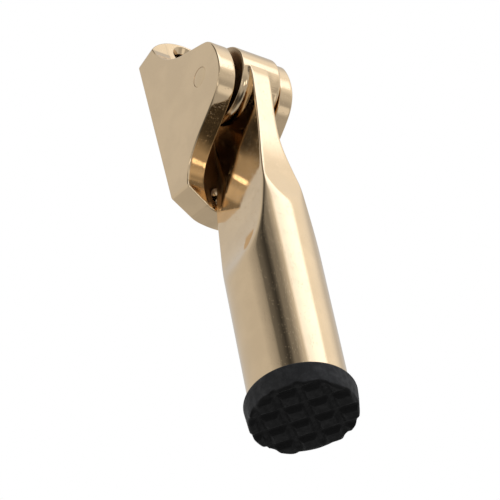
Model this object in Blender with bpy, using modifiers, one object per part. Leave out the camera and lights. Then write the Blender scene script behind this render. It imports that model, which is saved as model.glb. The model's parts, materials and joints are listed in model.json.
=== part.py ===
"""Kick-down door holder: a cast brass bracket, a swinging brass arm and a rubber foot.

Metres, +Z up. The door's face is the plane Y = 0, the holder stands in front of it towards -Y, and the
origin is on the bracket's back face, at the height of the pivot and midway between the two ears.
The arm is modelled hanging straight down from the pivot, and an empty then leans it back to its rest.
"""

import math

import bmesh
import bpy
from mathutils import Matrix, Vector

MM = 0.001

# Arm: a round bar whose upper end is narrowed to a tongue with a round hub on the pivot.
ARM_RADIUS = 11.1 * MM
ARM_LENGTH = 100.5 * MM  # from the pivot to the sole of the foot
ARM_OFFSET = -1.0 * MM  # of the bar's axis from the pivot, forwards of it
HUB_RADIUS = 9.45 * MM
HUB_LEFT, HUB_RIGHT = 4.3 * MM, 6.2 * MM  # from the arm's middle to the hub's two sides
LEFT_ROUND, RIGHT_ROUND = 0.4 * MM, 1.6 * MM  # radii of the hub's edges
TONGUE_HALF_WIDTH = 2.55 * MM

# Foot
FOOT_HEIGHT = 6.0 * MM
FOOT_TOP_RADIUS = 12.5 * MM
FOOT_SOLE_RADIUS = 12.15 * MM
TREAD_PITCH = 5.4 * MM
TREAD_GROOVE = 1.4 * MM
TREAD_DEPTH = 1.2 * MM
TREAD_TURN = math.radians(41)
TREAD_SHIFT = (-1.9 * MM, 1.15 * MM)  # of a lump's middle from the foot's axis
STUD_RADIUS = 3.0 * MM
STUD_LENGTH = 12.0 * MM
STUD_PLATE_RADIUS = 8.0 * MM
STUD_PLATE_THICKNESS = 1.5 * MM

# Bracket: a plate with round ends, and an ear down each side of it.
BRACKET_HALF_WIDTH = 10.4 * MM
LEFT_EAR, RIGHT_EAR = 4.65 * MM, 3.7 * MM  # thicknesses: the slot between them is off the middle
PLATE_THICKNESS = 6.7 * MM
PLATE_SIDE_TOP = 26.0 * MM  # height of the plate's side corners over the pivot
PLATE_SIDE_BOTTOM = -21.4 * MM  # at the door
PLATE_BOTTOM = -28.0 * MM
BOTTOM_SLOPE = 0.32  # how far the lower end falls per unit of depth, away from the door
PLATE_END_RADIUS = 11.9 * MM  # of the upper end
PIVOT_DEPTH = 20.6 * MM  # from the door's face

# Screw holes
HOLE_RADIUS = 2.6 * MM
HOLE_MOUTH_RADIUS = 3.8 * MM
UPPER_HOLE, LOWER_HOLE = 27.5 * MM, -24.5 * MM  # heights of their axes

# Pivot
PIN_RADIUS = 2.5 * MM
PIN_PLAY = 0.07 * MM
WASHER_RADIUS = 4.2 * MM
WASHER_THICKNESS = 0.5 * MM
THIN_WASHER = 0.3 * MM
WAVE_THICKNESS = 0.25 * MM
WAVE_HEIGHT = 0.4 * MM
WAVES = 3

# Brake: a sprung plunger in a blind pocket of the plate, which rubs on the hub.
PLUNGER_RADIUS = 2.8 * MM
PLUNGER_BORE = 1.9 * MM
PLUNGER_BACK = 3.0 * MM  # of its open end, from the door's face
POCKET_RADIUS = 2.95 * MM
POCKET_FLOOR = 1.8 * MM
SPRING_WIRE = 0.25 * MM
SPRING_TURNS = 6

GAP = 0.3 * MM
SIDES = 64
SMALL_SIDES = 40

# The hanging arm leans back until its foot all but touches the door.
REST_LEAN = math.asin(
    (PIVOT_DEPTH + ARM_OFFSET - FOOT_TOP_RADIUS - GAP) / ARM_LENGTH
)
PIVOT = Vector((0, -PIVOT_DEPTH, 0))

# Local x, y and z of a flat outline turned to world Y, Z and X, or to world X, Z and -Y.
# In the last one the outline also sinks on its way from the door.
SIDE_VIEW = Matrix(((0, 0, 1), (1, 0, 0), (0, 1, 0))).to_4x4()
FRONT_VIEW = Matrix(((1, 0, 0), (0, 0, -1), (0, 1, 0))).to_4x4()
SLOPING_FRONT_VIEW = Matrix(((1, 0, 0), (0, 0, -1), (0, 1, -BOTTOM_SLOPE))).to_4x4()
ALONG_X = Matrix.Rotation(math.pi / 2, 4, "Y")
ALONG_MINUS_Y = Matrix.Rotation(math.pi / 2, 4, "X")


def clear_scene():
    for obj in list(bpy.data.objects):
        bpy.data.objects.remove(obj, do_unlink=True)
    for collection in list(bpy.data.collections):
        bpy.data.collections.remove(collection)


def new_collection(name):
    collection = bpy.data.collections.new(name)
    bpy.context.scene.collection.children.link(collection)
    return collection


def new_material(name, colour, roughness, metallic):
    material = bpy.data.materials.new(name)
    material.use_nodes = True
    shader = material.node_tree.nodes["Principled BSDF"]
    shader.inputs["Base Color"].default_value = (*colour, 1)
    shader.inputs["Roughness"].default_value = roughness
    shader.inputs["Metallic"].default_value = metallic
    return material


clear_scene()
PARTS = new_collection("door_holder")
CUTTERS = new_collection("cutters")
BRASS = new_material("polished_brass", (0.83, 0.66, 0.38), 0.14, 1.0)
PIN_BRASS = new_material("pin_brass", (0.78, 0.62, 0.36), 0.25, 1.0)
STEEL = new_material("zinc_plated_steel", (0.62, 0.62, 0.60), 0.35, 1.0)
SPRING_STEEL = new_material("spring_steel", (0.42, 0.42, 0.43), 0.3, 1.0)
RUBBER = new_material("black_rubber", (0.02, 0.02, 0.021), 0.75, 0.0)


def new_object(name, mesh, matrix=None, material=None, parent=None):
    """A mesh object among the parts, or among the cutters if it has no material."""
    obj = bpy.data.objects.new(name, mesh)
    (PARTS if material else CUTTERS).objects.link(obj)
    obj.parent = parent
    obj.matrix_local = matrix or Matrix()
    if material:
        mesh.materials.append(material)
    else:
        obj.hide_render = True
        obj.display_type = "WIRE"
    mesh.shade_smooth()
    mesh.set_sharp_from_angle(angle=math.radians(35))
    return obj


def arc(centre, radius, start, end, steps):
    """Points of an arc about centre, its two ends among them."""
    angles = [start + (end - start) * i / steps for i in range(steps + 1)]
    return [centre + radius * Vector((math.cos(a), math.sin(a))) for a in angles]


def smooth_line(knots, steps):
    """Points of a smooth line through all the knots."""
    points = [Vector(knot) for knot in knots]
    ends = [2 * points[0] - points[1], *points, 2 * points[-1] - points[-2]]
    line = []
    for before, a, b, after in zip(ends, ends[1:], ends[2:], ends[3:]):
        for i in range(steps):
            t = i / steps
            bend = (2 * before - 5 * a + 4 * b - after) * t * t
            turn = (3 * a - before - 3 * b + after) * t**3
            line.append(a + ((b - before) * t + bend + turn) / 2)
    return line + [points[-1]]


def outline_solid(name, points, half_thickness, matrix, **kind):
    """The flat outline made a solid, which reaches half_thickness to each side of its plane."""
    curve = bpy.data.curves.new(name, "CURVE")
    curve.dimensions = "2D"
    curve.fill_mode = "BOTH"
    curve.extrude = half_thickness
    spline = curve.splines.new("POLY")
    spline.points.add(len(points) - 1)
    for at, point in zip(spline.points, points):
        at.co = (point[0], point[1], 0, 1)
    spline.use_cyclic_u = True
    return curve_to_mesh(name, curve, matrix, **kind)


def curve_to_mesh(name, curve, matrix, **kind):
    """A mesh object made from a curve, with its caps welded on."""
    shape = bpy.data.objects.new(name + "_curve", curve)
    CUTTERS.objects.link(shape)
    graph = bpy.context.evaluated_depsgraph_get()
    mesh = bpy.data.meshes.new_from_object(shape.evaluated_get(graph))
    mesh.name = name
    bpy.data.objects.remove(shape)
    welded = bmesh.new()
    welded.from_mesh(mesh)
    bmesh.ops.remove_doubles(welded, verts=welded.verts, dist=0.001 * MM)
    bmesh.ops.recalc_face_normals(welded, faces=welded.faces)
    welded.to_mesh(mesh)
    welded.free()
    return new_object(name, mesh, matrix, **kind)


def turned(name, profile, matrix, sides=SIDES, closed=False, **kind):
    """A profile of (radius, height) turned about the local Z axis. It runs down its outer side."""
    mesh = bpy.data.meshes.new(name)
    count = len(profile)
    edges = [(i, i + 1) for i in range(count - 1)] + ([(count - 1, 0)] if closed else [])
    mesh.from_pydata([(radius, 0, height) for radius, height in profile], edges, [])
    obj = new_object(name, mesh, matrix, **kind)
    screw = obj.modifiers.new("Turn", "SCREW")
    screw.axis = "Z"
    screw.angle = 2 * math.pi
    screw.steps = screw.render_steps = sides
    screw.use_merge_vertices = True
    screw.merge_threshold = 0.001 * MM
    screw.use_smooth_shade = True
    return obj


def rod(name, radius, top, bottom, matrix, sides=SIDES, **kind):
    """A plain cylinder about the local Z axis."""
    profile = [(0, top), (radius, top), (radius, bottom), (0, bottom)]
    return turned(name, profile, matrix, sides, **kind)


def boxes(name, sizes_and_places, matrix, **kind):
    """One object of separate boxes, each given as (size, centre)."""
    shape = bmesh.new()
    for size, centre in sizes_and_places:
        place = Matrix.Translation(centre) @ Matrix.Diagonal((*size, 1))
        bmesh.ops.create_cube(shape, size=1, matrix=place)
    mesh = bpy.data.meshes.new(name)
    shape.to_mesh(mesh)
    shape.free()
    return new_object(name, mesh, matrix, **kind)


def combine(obj, operation, *others):
    for other in others:
        modifier = obj.modifiers.new(other.name, "BOOLEAN")
        modifier.operation = operation
        modifier.object = other


def bracket_side():
    """The bracket from the side, as (y, z): a plate, and ears with a round nose between two hollow flanks."""
    plate = -PLATE_THICKNESS
    flank_top = Vector((-14.65, 14.0)) * MM
    flank_bottom = Vector((-14.6, -14.5)) * MM
    scoop = [
        (plate, PLATE_SIDE_TOP),
        (-7.9 * MM, 22.4 * MM),
        (-10.5 * MM, 18.0 * MM),
        flank_top,
    ]
    heel = [
        flank_bottom,
        (-10.9 * MM, -17.0 * MM),
        (-8.9 * MM, -19.1 * MM),
        (-7.7 * MM, -21.3 * MM),
        (-7.0 * MM, -23.7 * MM),
        (plate, -26.5 * MM),
    ]
    nose = [
        (-24.6 * MM, 8.1 * MM),
        (-26.25 * MM, 6.95 * MM),
        (-27.5 * MM, 4.95 * MM),
        (-28.3 * MM, 1.6 * MM),
        (-28.4 * MM, -1.9 * MM),
        (-27.7 * MM, -5.2 * MM),
        (-25.9 * MM, -8.1 * MM),
        (-23.1 * MM, -10.2 * MM),
    ]
    beyond_end = PLATE_END_RADIUS
    return [
        Vector((0, PLATE_SIDE_TOP + beyond_end)),
        Vector((plate, PLATE_SIDE_TOP + beyond_end)),
        *smooth_line(scoop, 5),
        *smooth_line(nose, 4),
        *smooth_line(heel, 4),
        Vector((plate, PLATE_SIDE_BOTTOM - beyond_end)),
        Vector((0, PLATE_SIDE_BOTTOM - beyond_end)),
    ]


def upper_end():
    """The bracket from the front, as (x, z): straight sides and a round top."""
    half_angle = math.asin(BRACKET_HALF_WIDTH / PLATE_END_RADIUS)
    centre = Vector((0, PLATE_SIDE_TOP - PLATE_END_RADIUS * math.cos(half_angle)))
    up = math.pi / 2
    corners = [(-BRACKET_HALF_WIDTH, -60 * MM), (BRACKET_HALF_WIDTH, -60 * MM)]
    top = arc(centre, PLATE_END_RADIUS, up - half_angle, up + half_angle, 16)
    return top + [Vector(corner) for corner in corners]


def lower_end():
    """The plate's lower end from the front, as (x, z): a straight slant at each corner, and a bulge between."""
    far = 20 * MM
    side = [
        (far, PLATE_SIDE_BOTTOM + (far - BRACKET_HALF_WIDTH)),
        (BRACKET_HALF_WIDTH, PLATE_SIDE_BOTTOM),
        (5.9 * MM, -26.2 * MM),
        (5.2 * MM, -26.85 * MM),
        (4.3 * MM, -27.35 * MM),
        (3.0 * MM, -27.7 * MM),
        (1.5 * MM, -27.93 * MM),
    ]
    left = [Vector((-x, z)) for x, z in side]
    right = [Vector(point) for point in reversed(side)]
    top = [Vector((far, 60 * MM)), Vector((-far, 60 * MM))]
    return left + [Vector((0, PLATE_BOTTOM))] + right + top


def screw_holes():
    """Countersunk through holes on the plate's mid-line, one near each end."""
    mouth = PLATE_THICKNESS - (HOLE_MOUTH_RADIUS - HOLE_RADIUS)
    profile = [
        (0, PLATE_THICKNESS + 1 * MM),
        (HOLE_MOUTH_RADIUS + 1 * MM, PLATE_THICKNESS + 1 * MM),
        (HOLE_RADIUS, mouth),
        (HOLE_RADIUS, -1 * MM),
        (0, -1 * MM),
    ]
    for i, height in enumerate((UPPER_HOLE, LOWER_HOLE)):
        place = Matrix.Translation((0, 0, height)) @ ALONG_MINUS_Y
        yield turned(f"screw_hole_{i}", profile, place, SMALL_SIDES)


def make_bracket():
    bracket = outline_solid(
        "bracket", bracket_side(), BRACKET_HALF_WIDTH + 1 * MM, SIDE_VIEW, material=BRASS
    )
    upper = outline_solid("upper_end", upper_end(), 60 * MM, FRONT_VIEW)
    lower = outline_solid("lower_end", lower_end(), 60 * MM, SLOPING_FRONT_VIEW)
    far = 80 * MM
    slot_width = 2 * BRACKET_HALF_WIDTH - LEFT_EAR - RIGHT_EAR
    slot_middle = (LEFT_EAR - RIGHT_EAR) / 2
    channel = boxes(
        "channel",
        [((slot_width, far, far), (slot_middle, -PLATE_THICKNESS - far / 2, 0))],
        Matrix(),
    )
    pin_hole = rod(
        "pin_hole",
        PIN_RADIUS + PIN_PLAY,
        far,
        -far,
        Matrix.Translation(PIVOT) @ ALONG_X,
        SMALL_SIDES,
    )
    pocket = rod(
        "plunger_pocket",
        POCKET_RADIUS,
        PLATE_THICKNESS + 1 * MM,
        POCKET_FLOOR,
        ALONG_MINUS_Y,
        SMALL_SIDES,
    )
    combine(bracket, "INTERSECT", upper, lower)
    combine(bracket, "DIFFERENCE", channel, pin_hole, pocket, *screw_holes())


def make_pivot():
    """The pin, and on it a plain washer at each side of the arm and a wave washer at the left one."""
    end = BRACKET_HALF_WIDTH - 0.02 * MM
    edge = 0.15 * MM
    profile = [
        (0, end),
        (PIN_RADIUS - edge, end),
        (PIN_RADIUS, end - edge),
        (PIN_RADIUS, -end + edge),
        (PIN_RADIUS - edge, -end),
        (0, -end),
    ]
    place = Matrix.Translation(PIVOT) @ ALONG_X
    turned("pivot_pin", profile, place, SMALL_SIDES, material=PIN_BRASS)
    hole = PIN_RADIUS + 0.2 * MM
    play = 0.1 * MM
    left_ear, right_ear = BRACKET_HALF_WIDTH - LEFT_EAR, BRACKET_HALF_WIDTH - RIGHT_EAR
    for side, x, thickness in (
        ("left", play + WASHER_THICKNESS / 2 - left_ear, WASHER_THICKNESS),
        ("right", right_ear - play - THIN_WASHER / 2, THIN_WASHER),
    ):
        half = thickness / 2
        ring = [(hole, half), (WASHER_RADIUS, half), (WASHER_RADIUS, -half), (hole, -half)]
        place = Matrix.Translation(PIVOT + Vector((x, 0, 0))) @ ALONG_X
        turned(f"washer_{side}", ring, place, SMALL_SIDES, True, material=STEEL)
    x = -HUB_LEFT - play - (WAVE_HEIGHT + WAVE_THICKNESS) / 2
    wave_washer("wave_washer", hole, Matrix.Translation(PIVOT + Vector((x, 0, 0))) @ ALONG_X)


def wave_washer(name, hole, matrix):
    """A thin spring ring bent into waves, about the local Z axis."""
    shape = bmesh.new()
    rim = [shape.verts.new((radius, 0, 0)) for radius in (hole, WASHER_RADIUS)]
    edge = shape.edges.new(rim)
    bmesh.ops.spin(
        shape,
        geom=[*rim, edge],
        cent=(0, 0, 0),
        axis=(0, 0, 1),
        angle=2 * math.pi,
        steps=SMALL_SIDES + 8,
        use_merge=True,
    )
    bmesh.ops.remove_doubles(shape, verts=shape.verts, dist=0.001 * MM)
    for vert in shape.verts:
        turn = math.atan2(vert.co.y, vert.co.x)
        vert.co.z = WAVE_HEIGHT / 2 * math.cos(WAVES * turn)
    bmesh.ops.recalc_face_normals(shape, faces=shape.faces)
    mesh = bpy.data.meshes.new(name)
    shape.to_mesh(mesh)
    shape.free()
    washer = new_object(name, mesh, matrix, material=SPRING_STEEL)
    thicken = washer.modifiers.new("Thickness", "SOLIDIFY")
    thicken.thickness = WAVE_THICKNESS
    thicken.offset = 0


def make_brake():
    """A cup-shaped plunger whose round tip rubs on the hub, and the coil spring inside it."""
    tip = PIVOT_DEPTH - HUB_RADIUS - GAP
    shoulder = Vector((0, tip - PLUNGER_RADIUS))
    dome = arc(shoulder, PLUNGER_RADIUS, math.pi / 2, 0, 8)
    bore_end = tip - PLUNGER_RADIUS - 0.6 * MM
    profile = [
        (0, tip),
        *[(point.x, point.y) for point in dome[1:]],
        (PLUNGER_RADIUS, PLUNGER_BACK),
        (PLUNGER_BORE, PLUNGER_BACK),
        (PLUNGER_BORE, bore_end),
        (0, bore_end),
    ]
    turned("brake_plunger", profile, ALONG_MINUS_Y, 32, material=STEEL)
    coil("brake_spring", POCKET_FLOOR + GAP, bore_end - 0.8 * MM)


def coil(name, bottom, top):
    """A compression spring along -Y, with a flat turn at each end."""
    radius = PLUNGER_BORE - SPRING_WIRE - 0.15 * MM
    per_turn = 12
    count = SPRING_TURNS * per_turn
    closed_part = 1 / SPRING_TURNS
    low = bottom + SPRING_WIRE
    span = top - SPRING_WIRE - low - 4 * SPRING_WIRE
    curve = bpy.data.curves.new(name, "CURVE")
    curve.dimensions = "3D"
    curve.bevel_depth = SPRING_WIRE
    curve.bevel_resolution = 1
    curve.use_fill_caps = True
    spline = curve.splines.new("POLY")
    spline.points.add(count)
    for i, at in enumerate(spline.points):
        along = i / count
        open_part = min(max((along - closed_part) / (1 - 2 * closed_part), 0), 1)
        ends = min(along, closed_part) + max(along - 1 + closed_part, 0)
        height = low + open_part * span + ends / closed_part * 2 * SPRING_WIRE * 1.02
        turn = 2 * math.pi * SPRING_TURNS * along
        at.co = (radius * math.cos(turn), radius * math.sin(turn), height, 1)
    return curve_to_mesh(name, curve, ALONG_MINUS_Y, material=SPRING_STEEL)


def tongue_side():
    """The arm's narrowed end from the side, as (y, z): waisted in front, and wider than the bar below."""
    past_bar = 16 * MM
    end = -(ARM_LENGTH - FOOT_HEIGHT)
    front = [
        (-HUB_RADIUS, 0.5 * MM),
        (-9.7 * MM, -4.0 * MM),
        (-9.2 * MM, -9.5 * MM),
        (-8.55 * MM, -16.0 * MM),
        (-8.0 * MM, -24.0 * MM),
        (-8.3 * MM, -33.0 * MM),
        (-9.1 * MM, -40.0 * MM),
        (-11.0 * MM, -48.0 * MM),
    ]
    back = [
        (12.3 * MM, -38.0 * MM),
        (11.3 * MM, -29.0 * MM),
        (10.7 * MM, -21.0 * MM),
        (9.4 * MM, -10.0 * MM),
        (HUB_RADIUS, -1.5 * MM),
    ]
    crown = arc(Vector((0, 0)), HUB_RADIUS, math.radians(-5), math.radians(176), 24)
    return [
        *smooth_line(front, 4),
        Vector((-past_bar, -56 * MM)),
        Vector((-past_bar, end)),
        Vector((past_bar, end)),
        Vector((past_bar, -44 * MM)),
        *smooth_line(back, 4)[:-1],
        *crown,
    ]


def tongue_front():
    """The arm from the front, as (x, z): a thin tongue whose two flats run out into the round bar."""
    past_bar = 16 * MM
    end = -(ARM_LENGTH - FOOT_HEIGHT)
    run_out = [
        (TONGUE_HALF_WIDTH, -17.0 * MM),
        (3.05 * MM, -24.2 * MM),
        (4.7 * MM, -34.8 * MM),
        (6.3 * MM, -45.0 * MM),
        (7.5 * MM, -50.5 * MM),
        (8.8 * MM, -54.8 * MM),
        (11.8 * MM, -60.0 * MM),
    ]
    right = [
        Vector((TONGUE_HALF_WIDTH, HUB_RADIUS + 1 * MM)),
        *smooth_line(run_out, 4),
        Vector((past_bar, -62 * MM)),
        Vector((past_bar, end)),
    ]
    return right + [Vector((-point.x, point.y)) for point in reversed(right)]


def make_arm(pivot):
    bar_axis = Matrix.Translation((0, -ARM_OFFSET, 0))
    bar_end = -(ARM_LENGTH - FOOT_HEIGHT)
    arm = outline_solid(
        "arm", tongue_side(), 20 * MM, SIDE_VIEW, material=BRASS, parent=pivot
    )
    front = outline_solid("tongue_front", tongue_front(), 30 * MM, FRONT_VIEW, parent=pivot)
    bar = rod("round_bar", ARM_RADIUS, 14 * MM, bar_end, bar_axis, parent=pivot)
    right_edge = Vector((HUB_RADIUS - RIGHT_ROUND, HUB_RIGHT - RIGHT_ROUND))
    left_edge = Vector((HUB_RADIUS - LEFT_ROUND, LEFT_ROUND - HUB_LEFT))
    edges = arc(right_edge, RIGHT_ROUND, math.pi / 2, 0, 6)
    edges += arc(left_edge, LEFT_ROUND, 0, -math.pi / 2, 3)
    outline = [(0, HUB_RIGHT), *[(point.x, point.y) for point in edges], (0, -HUB_LEFT)]
    hub = turned("hub", outline, ALONG_X, parent=pivot)
    pin_bore = rod(
        "pin_bore", PIN_RADIUS + PIN_PLAY, 9 * MM, -9 * MM, ALONG_X, SMALL_SIDES, parent=pivot
    )
    stud_bore = rod(
        "stud_bore",
        STUD_RADIUS + 0.1 * MM,
        bar_end + STUD_LENGTH + 2 * MM,
        bar_end - 1 * MM,
        bar_axis,
        SMALL_SIDES,
        parent=pivot,
    )
    combine(arm, "INTERSECT", front, bar)
    combine(arm, "UNION", hub)
    combine(arm, "DIFFERENCE", pin_bore, stud_bore)


def tread_grooves(sole, pivot):
    """Two sets of straight grooves across the sole, at right angles to each other."""
    length = 3 * FOOT_TOP_RADIUS
    for name, size in (
        ("tread_a", (TREAD_GROOVE, length)),
        ("tread_b", (length, TREAD_GROOVE)),
    ):
        shift = TREAD_SHIFT[0 if name == "tread_a" else 1]
        grooves = []
        for i in range(-3, 3):
            across = (i + 0.5) * TREAD_PITCH + shift
            middle = (across, 0, 0) if name == "tread_a" else (0, across, 0)
            if abs(across) < FOOT_SOLE_RADIUS - TREAD_GROOVE:
                grooves.append(((*size, 2 * TREAD_DEPTH), middle))
        place = Matrix.Translation((0, -ARM_OFFSET, sole)) @ Matrix.Rotation(
            TREAD_TURN, 4, "Z"
        )
        yield boxes(name, grooves, place, parent=pivot)


def make_foot(pivot):
    """The rubber foot, and the stud with its plate that is moulded into its top."""
    top = -(ARM_LENGTH - FOOT_HEIGHT) - 0.1 * MM
    sole = -ARM_LENGTH
    round_top, round_sole = 0.7 * MM, 0.9 * MM
    recess_radius = STUD_PLATE_RADIUS + 0.1 * MM
    recess_floor = top - STUD_PLATE_THICKNESS - 0.1 * MM
    shoulder = arc(
        Vector((FOOT_TOP_RADIUS - round_top, top - round_top)), round_top, math.pi / 2, 0, 3
    )
    heel = arc(
        Vector((FOOT_SOLE_RADIUS - round_sole, sole + round_sole)),
        round_sole,
        0,
        -math.pi / 2,
        4,
    )
    profile = [
        (0, recess_floor),
        (recess_radius, recess_floor),
        (recess_radius, top),
        *[tuple(point) for point in shoulder + heel],
        (0, sole),
    ]
    on_axis = Matrix.Translation((0, -ARM_OFFSET, 0))
    foot = turned("rubber_foot", profile, on_axis, 56, material=RUBBER, parent=pivot)
    combine(foot, "DIFFERENCE", *tread_grooves(sole, pivot))
    plate_top = top
    stud = [
        (0, plate_top + STUD_LENGTH),
        (STUD_RADIUS - 0.5 * MM, plate_top + STUD_LENGTH),
        (STUD_RADIUS, plate_top + STUD_LENGTH - 0.5 * MM),
        (STUD_RADIUS, plate_top),
        (STUD_PLATE_RADIUS, plate_top),
        (STUD_PLATE_RADIUS, plate_top - STUD_PLATE_THICKNESS),
        (0, plate_top - STUD_PLATE_THICKNESS),
    ]
    turned("foot_stud", stud, on_axis, SMALL_SIDES, material=STEEL, parent=pivot)


def make_arm_pivot():
    """An empty on the pivot's axis, leaning back until the foot all but touches the door."""
    pivot = bpy.data.objects.new("arm_pivot", None)
    PARTS.objects.link(pivot)
    pivot.location = PIVOT
    pivot.rotation_euler.x = REST_LEAN
    return pivot


make_bracket()
make_pivot()
make_brake()
arm_pivot = make_arm_pivot()
make_arm(arm_pivot)
make_foot(arm_pivot)
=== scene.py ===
"""Looks of the kick-down door holder: smooth cast brass, moulded rubber, and soft studio light.

Metres, +Z up, in the CAD model's frame: the door's face is the plane Y = 0, and the origin is at the height
of the pivot. The bracket, arm, pin and foot are rebuilt here at a finer grain, with the CAD model's sizes.
"""

import json
import math

import bmesh
import bpy
import numpy as np
from mathutils import Matrix, Vector


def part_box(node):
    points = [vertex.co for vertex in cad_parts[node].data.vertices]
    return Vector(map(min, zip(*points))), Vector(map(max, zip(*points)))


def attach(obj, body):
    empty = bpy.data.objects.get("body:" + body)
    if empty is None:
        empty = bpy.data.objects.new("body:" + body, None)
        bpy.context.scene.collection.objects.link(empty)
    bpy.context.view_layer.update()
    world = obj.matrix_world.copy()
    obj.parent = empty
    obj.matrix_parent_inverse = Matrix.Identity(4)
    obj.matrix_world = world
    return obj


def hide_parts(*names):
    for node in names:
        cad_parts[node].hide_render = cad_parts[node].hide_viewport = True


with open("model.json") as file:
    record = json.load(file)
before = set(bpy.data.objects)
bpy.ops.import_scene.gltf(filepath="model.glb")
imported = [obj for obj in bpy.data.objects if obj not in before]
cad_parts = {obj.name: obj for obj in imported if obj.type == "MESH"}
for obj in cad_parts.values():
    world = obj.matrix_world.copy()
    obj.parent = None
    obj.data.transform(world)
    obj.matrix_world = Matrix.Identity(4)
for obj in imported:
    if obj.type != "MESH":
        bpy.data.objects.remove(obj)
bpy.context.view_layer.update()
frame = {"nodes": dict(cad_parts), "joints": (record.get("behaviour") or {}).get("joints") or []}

MM = 0.001

# Bracket
HALF_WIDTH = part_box("bracket")[1][0]
LEFT_EAR, RIGHT_EAR = 4.65 * MM, 3.7 * MM  # thicknesses
PLATE = 6.7 * MM
SIDE_TOP, END_RADIUS = 26.0 * MM, 11.9 * MM  # height of the plate's upper corners, and its round upper end
# The lower end at the door, from its middle to a side: distance from the middle, depth below the pivot (mm)
LOWER_END = [(0, 28.0), (1.5, 27.93), (3.0, 27.7), (4.3, 27.35), (5.2, 26.85), (5.9, 26.2), (10.4, 21.4)]
BOTTOM_SLOPE = 0.32  # how far the lower end falls per unit of depth, away from the door
# The ears' front line from the side, top to bottom, as (y, z) in mm: hollow, round nose, hollow
EAR_KNOTS = [
    (-6.7, 26.0), (-7.9, 22.4), (-10.5, 18.0), (-14.65, 14.0), (-19.05, 11.3), (-22.7, 9.2), (-24.65, 8.05),
    (-26.2, 6.9), (-27.5, 4.95), (-28.3, 1.6), (-28.4, -1.9), (-27.7, -5.2), (-25.9, -8.1), (-23.1, -10.2),
    (-19.0, -12.3), (-14.6, -14.5), (-10.9, -17.0), (-8.9, -19.1), (-7.7, -21.3), (-7.0, -23.7),
    (-6.7, -31.0),
]
BRACKET_EDGE = 0.42 * MM  # radius of its worn edges
SLOT_EDGE = 0.25 * MM  # along the ears' inner sides
FLOOR_FILLET = 0.7 * MM  # along the channel between the ears
HOLE_RADIUS, MOUTH_RADIUS, HOLE_HEIGHTS = 2.6 * MM, 3.8 * MM, (27.5 * MM, -24.5 * MM)
POCKET_RADIUS, POCKET_FLOOR = 2.95 * MM, 1.8 * MM
POCKET_LIP, PIN_LIP = 0.25 * MM, 0.06 * MM  # radii of the holes' rounded lips

# Pivot
PIVOT = Vector(frame["joints"][0]["pos_m"])
PIN_RADIUS, PIN_PLAY = 2.5 * MM, 0.035 * MM

# Arm
ARM_RADIUS, ARM_LENGTH, FOOT_HEIGHT = 11.1 * MM, 100.5 * MM, 6.0 * MM
ARM_SHIFT = 1.0 * MM  # of the bar's axis from the pivot, towards the door
HUB_RADIUS = 9.4 * MM
HUB_LEFT, HUB_RIGHT = 4.3 * MM, 6.62 * MM  # from the arm's middle to the hub's two sides
LEFT_ROUND, RIGHT_ROUND = 0.35 * MM, 1.0 * MM  # radii of the hub's edges
WASHER_SEAT, SEAT_RADIUS = 6.2 * MM, 4.4 * MM  # the recess in the hub's right side, for the thin washer
BORE_PLAY = 0.07 * MM
ARM_END_ROUND = 0.35  # millimetres, at the bar's lower end
RING_POINTS, FINE_POINTS = 336, 2881  # in a ring of the bar, and in the outline that it is taken from
# The bar's cut-down sides, front and back, as (distance below the pivot, half width or depth), in mm
SIDE_CUT = [
    (-6, 2.55), (10, 2.55), (17, 2.6), (24.2, 3.05), (34.8, 4.7), (45, 6.3), (50.5, 7.4), (54.8, 8.6),
    (59, 10.3), (63, 12.3), (70, 20),
]
FRONT_CUT = [
    (-6, 6.2), (-3, 8.2), (-1, 8.85), (1, 9.3), (4, 9.7), (9.5, 9.2), (16, 8.55), (24, 8.0), (33, 8.35),
    (40, 9.2), (47, 10.7), (54, 13), (64, 20),
]
BACK_CUT = [
    (-6, 6.8), (-3, 8.6), (1.5, 9.3), (10, 9.4), (21, 10.7), (29, 11.3), (38, 12.3), (44, 14), (54, 20),
]

# Foot
FOOT_TOP_RADIUS, FOOT_SOLE_RADIUS = 12.5 * MM, 12.15 * MM
ROUND_TOP, ROUND_SOLE = 0.7 * MM, 0.8 * MM
FOOT_GAP = 0.1 * MM  # between the bar's end and the rubber
SOLE = 0.02 * MM - ARM_LENGTH  # its height from the pivot, a hair above the CAD model's
TREAD_PITCH, TREAD_GROOVE, TREAD_DEPTH = 5.4 * MM, 1.6 * MM, 0.85 * MM
TREAD_TURN = math.radians(41)
TREAD_SHIFT = (-1.9 * MM, 1.15 * MM)  # of a lump's middle from the foot's axis, in the turned directions
TREAD_REACH = 3.0 * MM  # how far up the wall the tread still shows
RIM_START, RIM_WIDTH = 9.5 * MM, 2 * MM  # where the grooves get shallower, towards the rim

# How the arm hangs: its foot all but touches the door
DOOR_GAP = 0.3 * MM
REST_LEAN = math.asin((-PIVOT.y - ARM_SHIFT - FOOT_TOP_RADIUS - DOOR_GAP) / ARM_LENGTH)
ON_ARM = Matrix.Translation(PIVOT) @ Matrix.Rotation(REST_LEAN, 4, "X")
ALONG_X = Matrix.Rotation(math.pi / 2, 4, "Y")
ALONG_MINUS_Y = Matrix.Rotation(math.pi / 2, 4, "X")


# ---------------------------------------------------------------- shapes


def arc(centre, radius, start, end, steps):
    """Points of an arc about centre, its two ends among them."""
    angles = [start + (end - start) * i / steps for i in range(steps + 1)]
    return [(centre[0] + radius * math.cos(a), centre[1] + radius * math.sin(a)) for a in angles]


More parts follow.
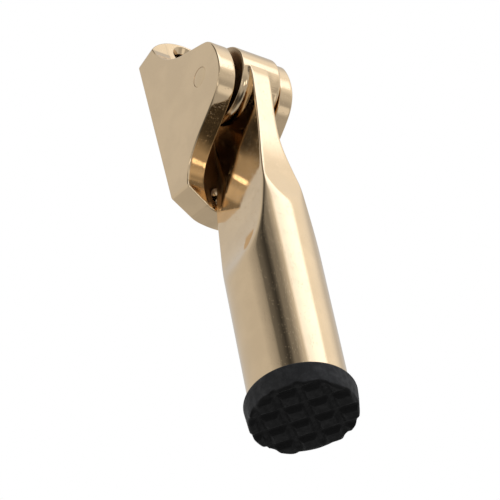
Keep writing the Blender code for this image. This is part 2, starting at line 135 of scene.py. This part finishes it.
def smooth_line(knots, steps):
    """Points of a smooth line through all the knots, as an array."""
    points = [np.array(knot, float) for knot in knots]
    ends = [2 * points[0] - points[1], *points, 2 * points[-1] - points[-2]]
    line = []
    for before, a, b, after in zip(ends, ends[1:], ends[2:], ends[3:]):
        for i in range(steps):
            t = i / steps
            bend = (2 * before - 5 * a + 4 * b - after) * t * t
            turn = (3 * a - before - 3 * b + after) * t**3
            line.append(a + ((b - before) * t + bend + turn) / 2)
    return np.array(line + [points[-1]])


def mesh_object(name, shape, matrix=None):
    """An object made from a bmesh, moved by matrix, with smooth shading that leaves its flats flat."""
    if matrix:
        bmesh.ops.transform(shape, matrix=matrix, verts=shape.verts)
    bmesh.ops.remove_doubles(shape, verts=shape.verts, dist=0.002 * MM)
    bmesh.ops.recalc_face_normals(shape, faces=shape.faces)
    mesh = bpy.data.meshes.new(name)
    shape.to_mesh(mesh)
    shape.free()
    mesh.shade_smooth()
    obj = bpy.data.objects.new(name, mesh)
    bpy.context.scene.collection.objects.link(obj)
    return obj


def loft(rings):
    """A closed bmesh through rings of equally many points, with a flat cap at each end."""
    shape = bmesh.new()
    rows = [[shape.verts.new(point) for point in ring] for ring in rings]
    for row, after in zip(rows, rows[1:]):
        for i in range(len(row)):
            j = (i + 1) % len(row)
            shape.faces.new((row[i], row[j], after[j], after[i]))
    shape.faces.new(rows[0])
    shape.faces.new(rows[-1])
    return shape


def turned(profile, sides):
    """A closed bmesh: a profile of (radius, height), which starts and ends on the axis, turned about Z."""
    turns = [(math.cos(2 * math.pi * k / sides), math.sin(2 * math.pi * k / sides)) for k in range(sides)]
    shape = bmesh.new()
    rows = []
    for radius, height in profile:
        if radius < 0.001 * MM:
            rows.append([shape.verts.new((0, 0, height))] * sides)
        else:
            rows.append([shape.verts.new((radius * x, radius * y, height)) for x, y in turns])
    for row, after in zip(rows, rows[1:]):
        for i in range(sides):
            j = (i + 1) % sides
            shape.faces.new(list(dict.fromkeys((row[i], row[j], after[j], after[i]))))
    return shape


def cut(obj, shapes, operation="DIFFERENCE"):
    """Applies a Boolean with each of the shapes, and removes them."""
    for shape in shapes:
        modifier = obj.modifiers.new("Cut", "BOOLEAN")
        modifier.operation = operation
        modifier.solver = "MANIFOLD"
        modifier.object = shape
        with bpy.context.temp_override(object=obj, active_object=obj):
            bpy.ops.object.modifier_apply(modifier=modifier.name)
        bpy.data.objects.remove(shape)
    obj.data.shade_smooth()


def weigh_normals(obj):
    """Lets the large flat faces keep their own normals, and the rounded edges between them blend."""
    modifier = obj.modifiers.new("Normals", "WEIGHTED_NORMAL")
    modifier.mode = "FACE_AREA"
    modifier.weight = 60


# ---------------------------------------------------------------- bracket


def end_heights(x):
    """Heights of the plate's upper and lower ends at x, at the door."""
    across = min(abs(x), HALF_WIDTH)
    top = SIDE_TOP + math.sqrt(END_RADIUS**2 - across**2) - math.sqrt(END_RADIUS**2 - HALF_WIDTH**2)
    widths, depths = zip(*LOWER_END)
    return top, -float(np.interp(across / MM, widths, depths)) * MM


def bracket_ring(x, front, inset):
    """One outline of the bracket, across X, with the line front as its front and its edges rounded."""
    top, bottom = end_heights(x)
    sharpest = 0.02 * MM
    corner = max(BRACKET_EDGE - inset, sharpest)
    back = -inset
    up, down = top - inset, bottom + inset
    front_down = down - BOTTOM_SLOPE * PLATE
    line = inset_line(front, inset)
    place = np.arange(len(line))
    ends = np.interp([corner - up, -corner - front_down], -line[:, 1], place)
    ahead, heights = (np.interp(np.linspace(*ends, len(line)), place, line[:, k]) for k in (0, 1))
    ring = (
        arc((back - corner, down + corner), corner, -math.pi / 2, 0, 4)
        + arc((back - corner, up - corner), corner, 0, math.pi / 2, 4)
        + arc((ahead[0] + corner, up - corner), corner, math.pi / 2, math.pi, 4)
        + list(zip(ahead, heights))
        + arc((ahead[-1] + corner, front_down + corner), corner, math.pi, 1.5 * math.pi, 4)
    )
    return [(x, y, z) for y, z in ring]


def inset_line(line, inset):
    """The line, which runs down the front, moved inwards."""
    along = np.gradient(line, axis=0)
    along /= np.linalg.norm(along, axis=1)[:, None]
    inward = np.column_stack([-along[:, 1], along[:, 0]])
    return line + inset * inward


def make_bracket():
    """The casting: rings from the right ear's outer side to the left one's, and then the holes."""
    ears = smooth_line(EAR_KNOTS, 6) * MM
    flat = np.column_stack([np.full(len(ears), -PLATE), ears[:, 1]])
    left = [[(-x, y, z) for x, y, z in ring] for ring in reversed(ear_stations(LEFT_EAR, ears, flat))]
    rings = [*ear_stations(RIGHT_EAR, ears, flat), bracket_ring(0, flat, 0), *left]
    bracket = mesh_object("bracket_casting", loft(rings))
    cut(bracket, bracket_cutters())
    weigh_normals(bracket)
    return bracket


def ear_stations(thickness, ears, flat):
    """Rings from an ear's outer side inwards, to near the middle of the channel's floor."""
    inner = HALF_WIDTH - thickness
    rings = []
    for across, out in arc((0, 0), BRACKET_EDGE, 0, math.pi / 2, 5):  # the rounded edge of the outer side
        rings.append(bracket_ring(HALF_WIDTH - BRACKET_EDGE + across, ears, BRACKET_EDGE - out))
    for i in range(1, 8):
        x = HALF_WIDTH - BRACKET_EDGE - (thickness - BRACKET_EDGE - SLOT_EDGE) * i / 7
        rings.append(bracket_ring(x, ears, 0))
    for out, across in arc((0, 0), SLOT_EDGE, 0, math.pi / 2, 5)[1:]:  # the rounded edge of the inner side
        rings.append(bracket_ring(inner + SLOT_EDGE - across, inner_edge_line(ears, SLOT_EDGE - out), 0))
    proud = flat[:, 0] - ears[:, 0]  # how far the ears stand out of the plate
    for across, out in arc((0, 0), FLOOR_FILLET, 0, math.pi / 2, 6):  # the fillet along the channel's floor
        rise = np.minimum(FLOOR_FILLET - out, proud)
        filled = np.column_stack([flat[:, 0] - rise, flat[:, 1]])
        rings.append(bracket_ring(inner - FLOOR_FILLET + across, filled, 0))
    for i in range(1, 6):
        rings.append(bracket_ring((inner - FLOOR_FILLET) * (1 - i / 6), flat, 0))
    return rings


def inner_edge_line(ears, inset):
    """The ears' front line moved inwards, but only where it stands out further than the channel's fillet."""
    limit_y = -PLATE - FLOOR_FILLET
    moved = inset_line(ears, inset)
    moved[:, 0] = np.minimum(moved[:, 0], limit_y)
    return np.where(ears[:, :1] < limit_y, moved, ears)


def lip(radius, height, flare, out):
    """A hole's rounded lip, from its rim at height to the hole's wall. out is 1 at the top, else -1."""
    centre = (radius + flare, height - out * flare)
    return arc(centre, flare, out * math.pi / 2, out * math.pi, 5)


def bracket_cutters():
    """The countersunk screw holes, the pin's hole and the plunger's pocket."""
    over = 1 * MM
    clear = 0.01 * MM  # keeps the lips' rims out of the planes that they round off
    cone = MOUTH_RADIUS - HOLE_RADIUS
    wide = MOUTH_RADIUS + 0.25 * MM
    screw = [
        (0, PLATE + over),
        (wide, PLATE + over),
        (wide, PLATE + 0.05 * MM),
        (MOUTH_RADIUS + 0.06 * MM, PLATE - 0.06 * MM),
        (MOUTH_RADIUS - 0.1 * MM, PLATE - 0.25 * MM),
        (HOLE_RADIUS + 0.1 * MM, PLATE - cone),
        (HOLE_RADIUS, PLATE - cone - 0.2 * MM),
        (HOLE_RADIUS, -over),
        (0, -over),
    ]
    pocket = [
        (0, PLATE + over),
        (POCKET_RADIUS + POCKET_LIP, PLATE + over),
        *lip(POCKET_RADIUS, PLATE + clear, POCKET_LIP, 1),
        (POCKET_RADIUS, POCKET_FLOOR),
        (0, POCKET_FLOOR),
    ]
    hole = PIN_RADIUS + PIN_PLAY
    end = HALF_WIDTH + clear
    pin = [
        (0, end + over),
        (hole + PIN_LIP, end + over),
        *lip(hole, end, PIN_LIP, 1),
        *reversed(lip(hole, -end, PIN_LIP, -1)),
        (hole + PIN_LIP, -end - over),
        (0, -end - over),
    ]
    for height in HOLE_HEIGHTS:
        place = Matrix.Translation((0, 0, height)) @ ALONG_MINUS_Y
        yield mesh_object("screw_hole", turned(screw, 72), place)
    yield mesh_object("pocket", turned(pocket, 64), ALONG_MINUS_Y)
    yield mesh_object("pin_hole", turned(pin, 72), Matrix.Translation(PIVOT) @ ALONG_X)


def make_pin():
    """The pivot pin, filed flush with the ears and very slightly domed."""
    end, edge, dome = HALF_WIDTH - 0.03 * MM, 0.09 * MM, 0.015 * MM
    half = [(0, end), (1.2 * MM, end - 0.004 * MM), (PIN_RADIUS - edge, end - dome)]
    half += arc((PIN_RADIUS - edge, end - dome - edge), edge, math.pi / 2, 0, 4)[1:]
    profile = half + [(radius, -height) for radius, height in reversed(half)]
    pin = mesh_object("pin_turned", turned(profile, 96), Matrix.Translation(PIVOT) @ ALONG_X)
    weigh_normals(pin)
    return pin


# ---------------------------------------------------------------- arm


def limit(knots, t):
    """A width or depth at t, on the smooth line through the knots (t, size), both in millimetres."""
    line = smooth_line(knots, 8)
    return np.interp(t, line[:, 0], line[:, 1])


def arm_ring(t, shrink=0.0):
    """One outline of the arm, t millimetres below the pivot: the round bar, cut down on its four sides."""
    side, front, back = limit(SIDE_CUT, t), limit(FRONT_CUT, t), limit(BACK_CUT, t)
    radius, shift = ARM_RADIUS / MM - shrink, ARM_SHIFT / MM
    turn = np.linspace(0, 2 * np.pi, FINE_POINTS)
    reach = [
        np.full(len(turn), 1 / radius),
        np.abs(np.cos(turn)) / side,
        np.maximum(-np.sin(turn), 0) / (front + shift),
        np.maximum(np.sin(turn), 0) / (back - shift),
    ]
    distance = 1 / np.max(reach, axis=0)
    outline = np.column_stack([distance * np.cos(turn), distance * np.sin(turn) + shift])
    run = np.concatenate([[0], np.cumsum(np.linalg.norm(np.diff(outline, axis=0), axis=1))])
    even = np.linspace(0, run[-1], RING_POINTS, endpoint=False)
    x, y = (np.interp(even, run, outline[:, k]) for k in (0, 1))
    return np.column_stack([x, y, np.full(RING_POINTS, -t)]) * MM


def worn(rings, around, along):
    """The rings with their edges rubbed round, by averaging around each ring and from ring to ring."""
    for _ in range(around):
        rings = rings / 2 + (np.roll(rings, 1, 1) + np.roll(rings, -1, 1)) / 4
    for _ in range(along):
        rings[1:-1] = rings[1:-1] / 2 + (rings[:-2] + rings[2:]) / 4
    return rings


def hub_profile():
    """The hub's outline, from its recessed right side to its left side."""
    right = (HUB_RADIUS - RIGHT_ROUND, HUB_RIGHT - RIGHT_ROUND)
    left = (HUB_RADIUS - LEFT_ROUND, LEFT_ROUND - HUB_LEFT)
    flat = HUB_RADIUS - 3 * MM
    return [
        (0, WASHER_SEAT),
        (SEAT_RADIUS, WASHER_SEAT),
        (SEAT_RADIUS + 0.4 * MM, HUB_RIGHT),
        (flat, HUB_RIGHT),
        *arc(right, RIGHT_ROUND, math.pi / 2, 0, 12),
        *arc(left, LEFT_ROUND, 0, -math.pi / 2, 6),
        (flat, -HUB_LEFT),
        (0, -HUB_LEFT),
    ]


def make_arm():
    """The bar with its tongue, the hub added to its upper end, and the pin's bore."""
    end = (ARM_LENGTH - FOOT_HEIGHT) / MM
    shaped = worn(np.array([arm_ring(t) for t in np.arange(-5, 75, 0.7)]), 5, 9)
    rings = [*shaped, *[arm_ring(t) for t in np.arange(76, end - ARM_END_ROUND, 2.2)]]
    for kept, down in arc((0, 0), ARM_END_ROUND, 0, math.pi / 2, 4):
        rings.append(arm_ring(end - ARM_END_ROUND + down, ARM_END_ROUND - kept))
    arm = mesh_object("arm_casting", loft(rings), ON_ARM)
    cut(arm, [mesh_object("hub", turned(hub_profile(), 200), ON_ARM @ ALONG_X)], "UNION")
    wall, reach = PIN_RADIUS + BORE_PLAY, 9 * MM
    bore = [(0, reach), (wall, reach), (wall, -reach), (0, -reach)]
    cut(arm, [mesh_object("bore", turned(bore, 64), ON_ARM @ ALONG_X)])
    weigh_normals(arm)
    return arm


# ---------------------------------------------------------------- foot


def tread(x, y):
    """How deep the sole is cut at x, y: crossed grooves with soft shoulders."""
    a = x * math.cos(TREAD_TURN) + y * math.sin(TREAD_TURN)
    b = y * math.cos(TREAD_TURN) - x * math.sin(TREAD_TURN)
    deepest = 0
    for across in (a - TREAD_SHIFT[0], b - TREAD_SHIFT[1]):
        off = abs((across / TREAD_PITCH) % 1 - 0.5) * TREAD_PITCH
        soft = min(max((off - TREAD_GROOVE * 0.15) / (TREAD_GROOVE * 0.75), 0), 1)
        deepest = max(deepest, 1 - soft * soft * (3 - 2 * soft))
    rim = min(max((math.hypot(x, y) - RIM_START) / RIM_WIDTH, 0), 1)
    return TREAD_DEPTH * deepest * (1 - 0.25 * rim)


def make_foot():
    """The rubber foot: a slightly tapered puck with soft rims, and a tread of square lumps."""
    top = FOOT_HEIGHT - ARM_LENGTH - FOOT_GAP
    flat = FOOT_SOLE_RADIUS - ROUND_SOLE
    profile = [(0, top), (6 * MM, top), (11 * MM, top)]
    profile += arc((FOOT_TOP_RADIUS - ROUND_TOP, top - ROUND_TOP), ROUND_TOP, math.pi / 2, 0, 6)
    wall = np.linspace((FOOT_TOP_RADIUS, top - ROUND_TOP), (FOOT_SOLE_RADIUS, SOLE + ROUND_SOLE), 15)
    profile += wall[1:-1].tolist()
    profile += arc((flat, SOLE + ROUND_SOLE), ROUND_SOLE, 0, -math.pi / 2, 7)
    profile += [(flat * (1 - i / 64), SOLE) for i in range(1, 65)]
    shape = turned(profile, 288)
    for vert in shape.verts:
        depth = tread(vert.co.x, vert.co.y)
        lift = max(0, 1 - (vert.co.z - SOLE) / TREAD_REACH)
        outwards = Vector((vert.co.x, vert.co.y, 0))
        vert.co.z += depth * lift**1.5
        if outwards.length > flat * 0.9:
            vert.co -= outwards.normalized() * depth * 0.2 * lift
    return mesh_object("foot_moulding", shape, ON_ARM @ Matrix.Translation((0, ARM_SHIFT, 0)))


# ---------------------------------------------------------------- materials

TONE = (0.90, 0.685, 0.435)
# Dark brown painted in as shade, in the slot between the ears and on the hub's side
PAINTED_SHADE_BROWN = (0.20, 0.115, 0.05, 1)


class Nodes:
    """Short calls for building a material's or the world's node tree."""

    def __init__(self, tree):
        self.tree = tree

    def add(self, kind, inputs=None, **settings):
        node = self.tree.nodes.new(kind)
        for key, value in settings.items():
            setattr(node, key, value)
        for key, value in (inputs or {}).items():
            if isinstance(value, bpy.types.NodeSocket):
                self.tree.links.new(value, node.inputs[key])
            else:
                node.inputs[key].default_value = value
        return node

    def place(self):
        return self.add("ShaderNodeTexCoord").outputs["Object"]

    def noise(self, scale, detail=3.0, rough=0.5, at=None):
        node = self.add("ShaderNodeTexNoise", {"Scale": scale, "Detail": detail, "Roughness": rough})
        self.tree.links.new(at or self.place(), node.inputs["Vector"])
        return node.outputs["Fac"]

    def ramp(self, value, low, high, out_low=0.0, out_high=1.0, smooth=True):
        inputs = {0: value, 1: low, 2: high, 3: out_low, 4: out_high}
        kind = "SMOOTHSTEP" if smooth else "LINEAR"
        return self.add("ShaderNodeMapRange", inputs, interpolation_type=kind).outputs[0]

    def maths(self, operation, a, b=0.0):
        return self.add("ShaderNodeMath", {0: a, 1: b}, operation=operation).outputs[0]

    def product(self, value, *factors):
        for factor in factors:
            value = self.maths("MULTIPLY", value, factor)
        return value

    def mix(self, factor, a, b):
        return self.add("ShaderNodeMix", {0: factor, 6: a, 7: b}, data_type="RGBA").outputs[2]

    def dot(self, a, b):
        return self.add("ShaderNodeVectorMath", {0: a, 1: b}, operation="DOT_PRODUCT").outputs["Value"]

    def bump(self, height, strength, distance, normal=None):
        inputs = {"Height": height, "Strength": strength, "Distance": distance}
        if normal:
            inputs["Normal"] = normal
        return self.add("ShaderNodeBump", inputs).outputs[0]


def new_material(name):
    """A new material, its nodes and its shader."""
    material = bpy.data.materials.new(name)
    material.use_nodes = True
    return material, Nodes(material.node_tree), material.node_tree.nodes["Principled BSDF"]


def link(nodes, shader, **values):
    """Links values to the shader's inputs, whose names are given with underscores for spaces."""
    for key, value in values.items():
        nodes.tree.links.new(value, shader.inputs[key.replace("_", " ")])


def brass(name, tone, roughness, pits, shade_mask=None):
    """Polished cast brass: soft blotches of tone, fine polishing marks, a gentle ripple and tiny pits.

    Where the given mask is 1, in the slot between the ears and on the hub's side within it, dark brown
    painted shade is mixed in, and the finish there is rougher.
    """
    material, nodes, shader = new_material(name)
    shader.inputs["Metallic"].default_value = 1.0
    dull = [c * 0.94 for c in tone]
    blotch = nodes.ramp(nodes.noise(140, 4), 0.35, 0.65)
    colour = nodes.mix(blotch, (*tone, 1), (*dull, 1))
    stretched = nodes.add("ShaderNodeMapping", {"Vector": nodes.place(), "Scale": (900, 900, 70)})
    marks = nodes.noise(1.0, 2, 0.6, stretched.outputs[0])
    fine = nodes.ramp(marks, 0.3, 0.8, roughness * 0.8, roughness * 1.25)
    finish = nodes.maths("ADD", fine, nodes.ramp(blotch, 0, 1, 0.0, roughness * 0.2))
    if shade_mask:
        # Painted shade: dark brown mixed into the colour where the mask is 1, with a rougher finish there
        layer = shade_mask(nodes)
        colour = nodes.mix(nodes.maths("MULTIPLY", layer, 0.85), colour, PAINTED_SHADE_BROWN)
        finish = nodes.maths("ADD", finish, nodes.maths("MULTIPLY", layer, 0.22))
    cells = nodes.add("ShaderNodeTexVoronoi", {"Vector": nodes.place(), "Scale": 2300.0})
    dots = nodes.ramp(cells.outputs["Distance"], 0.10, 0.30)
    sparse = nodes.ramp(nodes.noise(420, 2), 0.46, 0.56)
    pit = nodes.maths("ADD", dots, nodes.maths("SUBTRACT", 1.0, sparse))
    ripple = nodes.bump(nodes.noise(60, 1), 0.1, 0.0003)
    grain = nodes.bump(marks, 0.1, 0.00004, ripple)
    pitted = nodes.bump(nodes.maths("MINIMUM", pit, 1.0), pits, 0.00003, grain)
    link(nodes, shader, Base_Color=colour, Roughness=finish, Normal=pitted)
    return material


def slot_shade_mask(nodes):
    """Where shade is painted: 1 on the left wall and floor of the slot between the ears, fading out near the
    plate's upper end.
    """
    x, y, z = nodes.add("ShaderNodeSeparateXYZ", {0: nodes.place()}).outputs
    left, right = LEFT_EAR - HALF_WIDTH, HALF_WIDTH - RIGHT_EAR
    past_left = nodes.ramp(x, left - 0.2 * MM, left + 0.1 * MM)
    short_of_right = nodes.ramp(x, right - 0.6 * MM, right - 0.1 * MM, 1.0, 0.0)
    below_top = nodes.ramp(z, 15 * MM, 21 * MM, 1.0, 0.0)
    above_end = nodes.ramp(z, -29 * MM, -27 * MM)
    in_front = nodes.ramp(y, 0.5 * MM - PLATE, 1.0 * MM - PLATE, 1.0, 0.0)
    return nodes.product(past_left, short_of_right, in_front, below_top, above_end)


def hub_shade_mask(nodes):
    """Where shade is painted: 1 on the hub's flat left side, less towards its top."""
    x, _, z = nodes.add("ShaderNodeSeparateXYZ", {0: nodes.place()}).outputs
    on_left = nodes.ramp(x, 0.01 * MM - HUB_LEFT, 0.12 * MM - HUB_LEFT, 1.0, 0.0)
    above_end = nodes.ramp(z, -13 * MM, -12 * MM)
    less_on_top = nodes.ramp(z, 2 * MM, 8 * MM, 1.0, 0.45)
    return nodes.product(on_left, above_end, less_on_top)


def steel(name, tone, roughness):
    """Plated or plain steel, faintly clouded, with slightly uneven gloss."""
    material, nodes, shader = new_material(name)
    shader.inputs["Metallic"].default_value = 1.0
    cloud = nodes.noise(700, 4)
    colour = nodes.mix(nodes.ramp(cloud, 0.3, 0.7), (*tone, 1), (*[c * 0.8 for c in tone], 1))
    finish = nodes.ramp(nodes.noise(1500, 3), 0.3, 0.7, roughness * 0.8, roughness * 1.2)
    link(nodes, shader, Base_Color=colour, Roughness=finish, Normal=nodes.bump(cloud, 0.15, 0.00005))
    return material


def rubber(name):
    """Moulded black rubber: matt, mottled and dusty, with a fine uneven skin. Its underside is darker."""
    material, nodes, shader = new_material(name)
    dust = nodes.ramp(nodes.noise(420, 5, 0.65), 0.4, 0.75)
    colour = nodes.mix(dust, (0.022, 0.022, 0.023, 1), (0.042, 0.042, 0.043, 1))
    facing = nodes.add("ShaderNodeTexCoord").outputs["Normal"]
    down = nodes.dot(facing, (0, 0, -1))
    colour = nodes.mix(nodes.ramp(down, 0.2, 0.7), colour, (0.006, 0.006, 0.006, 1))
    finish = nodes.ramp(nodes.noise(900, 4), 0.3, 0.7, 0.5, 0.68)
    layer = nodes.bump(nodes.noise(2600, 4, 0.6), 0.35, 0.00012)
    lumps = nodes.bump(nodes.noise(330, 3), 0.4, 0.0005, layer)
    shader.inputs["Specular IOR Level"].default_value = 0.22
    link(nodes, shader, Base_Color=colour, Roughness=finish, Normal=lumps)
    return material


# ---------------------------------------------------------------- studio

KEY_TINT = (1.0, 1.06, 1.2, 1)
# Azimuth, elevation, inner and outer angle, and brightness
KEY_LIGHT = (287, 40, 14, 21, 0.62)
KEY_SPILL = (314, 40, 8, 36, 0.38)
LOW_LIGHT = (305, -36, 5, 14, 0.38)
HEEL_LIGHT = (231, -20, 3, 8, 1.6)
FLANK_LIGHT = (255, -32, 3, 8, 1.8)
LOW_SHADE = (206, -55, 7, 24, 0.9)  # a dark patch low on the left: the last number is its darkness
OPENING_AZIMUTH = 229
# How dark the opening is, from its left to its right: sine of the angle from its middle, darkness
OPENING = [
    (-0.59, 0), (-0.48, 0.22), (-0.37, 0.38), (-0.31, 0.52), (-0.28, 0.75), (-0.18, 0.8), (-0.1, 0.88),
    (-0.02, 0.93), (0.06, 0.84), (0.13, 0.66), (0.25, 0.62), (0.37, 0.2), (0.42, 0),
]

# Degrees, metres, and millimetres for the lens. The camera's azimuth turns from +Y to +X
CAMERA_AZIMUTH, CAMERA_ELEVATION, CAMERA_ROLL = 42.63, 44.72, -15.35
CAMERA_TARGET = (0.01024, 0.00081, -0.03007)
CAMERA_DISTANCE, CAMERA_LENS, SENSOR_WIDTH = 0.657, 201.6, 36


def towards(azimuth, elevation):
    """A direction: azimuth turns from +X to +Y, in degrees."""
    a, e = math.radians(azimuth), math.radians(elevation)
    return (math.cos(a) * math.cos(e), math.sin(a) * math.cos(e), math.sin(e))


def make_world():
    """A light tent: pale walls, soft and small lights, and the dark opening it is seen through."""
    world = bpy.data.worlds.new("studio")
    world.use_nodes = True
    world.node_tree.nodes.clear()
    nodes = Nodes(world.node_tree)
    way = nodes.add("ShaderNodeTexCoord").outputs["Generated"]

    def spot(azimuth, elevation, inner, outer, amount):
        """amount within the angle inner of a direction, fading to nothing at outer."""
        edge, core = math.cos(math.radians(outer)), math.cos(math.radians(inner))
        return nodes.ramp(nodes.dot(way, towards(azimuth, elevation)), edge, core, 0.0, amount)

    height = nodes.dot(way, (0, 0, 1))
    walls = nodes.ramp(height, -0.98, -0.82, 0.06, 0.42)
    light = nodes.maths("ADD", walls, nodes.ramp(height, -0.3, 0.0, 0.0, 0.17))
    for lamp in (KEY_LIGHT, KEY_SPILL, LOW_LIGHT, HEEL_LIGHT, FLANK_LIGHT):
        light = nodes.maths("ADD", light, spot(*lamp))
    side = nodes.dot(way, towards(OPENING_AZIMUTH + 90, 0))
    opening = nodes.add("ShaderNodeValToRGB", {0: nodes.ramp(side, -1, 1, smooth=False)})
    stops = opening.color_ramp.elements
    for place, _ in OPENING[2:]:
        stops.new(place / 2 + 0.5)
    for stop, (place, darkness) in zip(stops, OPENING):
        stop.position = place / 2 + 0.5
        stop.color = (darkness, darkness, darkness, 1)
    ahead = nodes.ramp(nodes.dot(way, towards(OPENING_AZIMUTH, 0)), 0.15, 0.35)
    opened = nodes.product(opening.outputs[0], ahead, nodes.ramp(height, 0.0, 0.25))
    dark = nodes.maths("MAXIMUM", opened, spot(*LOW_SHADE))
    light = nodes.product(light, nodes.maths("SUBTRACT", 1.0, dark))
    tint = nodes.mix(spot(*KEY_LIGHT[:4], 1.0), (1, 1, 1, 1), KEY_TINT)
    backdrop = nodes.add("ShaderNodeBackground", {"Color": (1, 1, 1, 1), "Strength": 1.0})
    tent = nodes.add("ShaderNodeBackground", {"Color": tint, "Strength": light})
    seen = nodes.add("ShaderNodeLightPath").outputs["Is Camera Ray"]
    both = nodes.add("ShaderNodeMixShader", {0: seen, 1: tent.outputs[0], 2: backdrop.outputs[0]})
    nodes.add("ShaderNodeOutputWorld", {"Surface": both.outputs[0]})
    bpy.context.scene.world = world


def make_floor():
    """A pale floor under everything, which the brass doesn't mirror."""
    half, drop = 8.0, 0.62
    shape = bmesh.new()
    bmesh.ops.create_grid(shape, x_segments=2, y_segments=2, size=half)
    floor = mesh_object("floor", shape, Matrix.Translation((0, 0, -drop)))
    material, nodes, shader = new_material("pale_floor")
    tone = nodes.mix(nodes.noise(2.0), (0.80, 0.80, 0.80, 1), (0.84, 0.84, 0.84, 1))
    link(nodes, shader, Base_Color=tone)
    shader.inputs["Roughness"].default_value = 0.9
    floor.data.materials.append(material)
    floor.visible_glossy = False


def make_camera():
    """A long lens below, in front and to the left of the holder, looking up at it and tilted a little."""
    ahead = Vector(towards(90 - CAMERA_AZIMUTH, CAMERA_ELEVATION))
    camera = bpy.data.objects.new("camera", bpy.data.cameras.new("camera"))
    camera.data.sensor_width = SENSOR_WIDTH
    camera.data.lens = CAMERA_LENS
    camera.data.clip_start = 0.05
    camera.location = Vector(CAMERA_TARGET) - ahead * CAMERA_DISTANCE
    roll = Matrix.Rotation(math.radians(CAMERA_ROLL), 3, "Z")
    turn = ahead.to_track_quat("-Z", "Y").to_matrix() @ roll
    camera.rotation_euler = turn.to_euler()
    bpy.context.scene.collection.objects.link(camera)
    bpy.context.scene.camera = camera


# ---------------------------------------------------------------- the object


def finish_piece(piece, material, body, node):
    """Gives a new piece its material, hangs it on its body and hides the CAD node that it stands in for."""
    piece.data.materials.clear()
    piece.data.materials.append(material)
    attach(piece, body)
    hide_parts(node)


make_camera()
make_world()
make_floor()
# Both castings get painted shade: the bracket in its slot, the arm on its hub's left side
BRACKET_CAST = brass("bracket_brass", TONE, roughness=0.07, pits=0.6, shade_mask=slot_shade_mask)
ARM_CAST = brass("arm_brass", TONE, roughness=0.07, pits=0.6, shade_mask=hub_shade_mask)
PIN = brass("turned_brass", (0.88, 0.67, 0.42), roughness=0.16, pits=0.1)
PLATED = steel("zinc_plate", (0.5, 0.49, 0.46), roughness=0.34)
SPRING = steel("oiled_spring_steel", (0.16, 0.15, 0.14), roughness=0.3)
finish_piece(make_bracket(), BRACKET_CAST, "bracket", "bracket")
finish_piece(make_pin(), PIN, "bracket", "pivot_pin")
finish_piece(make_arm(), ARM_CAST, "arm", "arm")
finish_piece(make_foot(), rubber("moulded_rubber"), "arm", "rubber_foot")
for name, material in (
    ("washer_left", PLATED),
    ("washer_right", PLATED),
    ("brake_plunger", PLATED),
    ("foot_stud", PLATED),
    ("wave_washer", SPRING),
    ("brake_spring", SPRING),
):
    frame["nodes"][name].data.materials[0] = material
bpy.context.scene.view_settings.view_transform = "Standard"
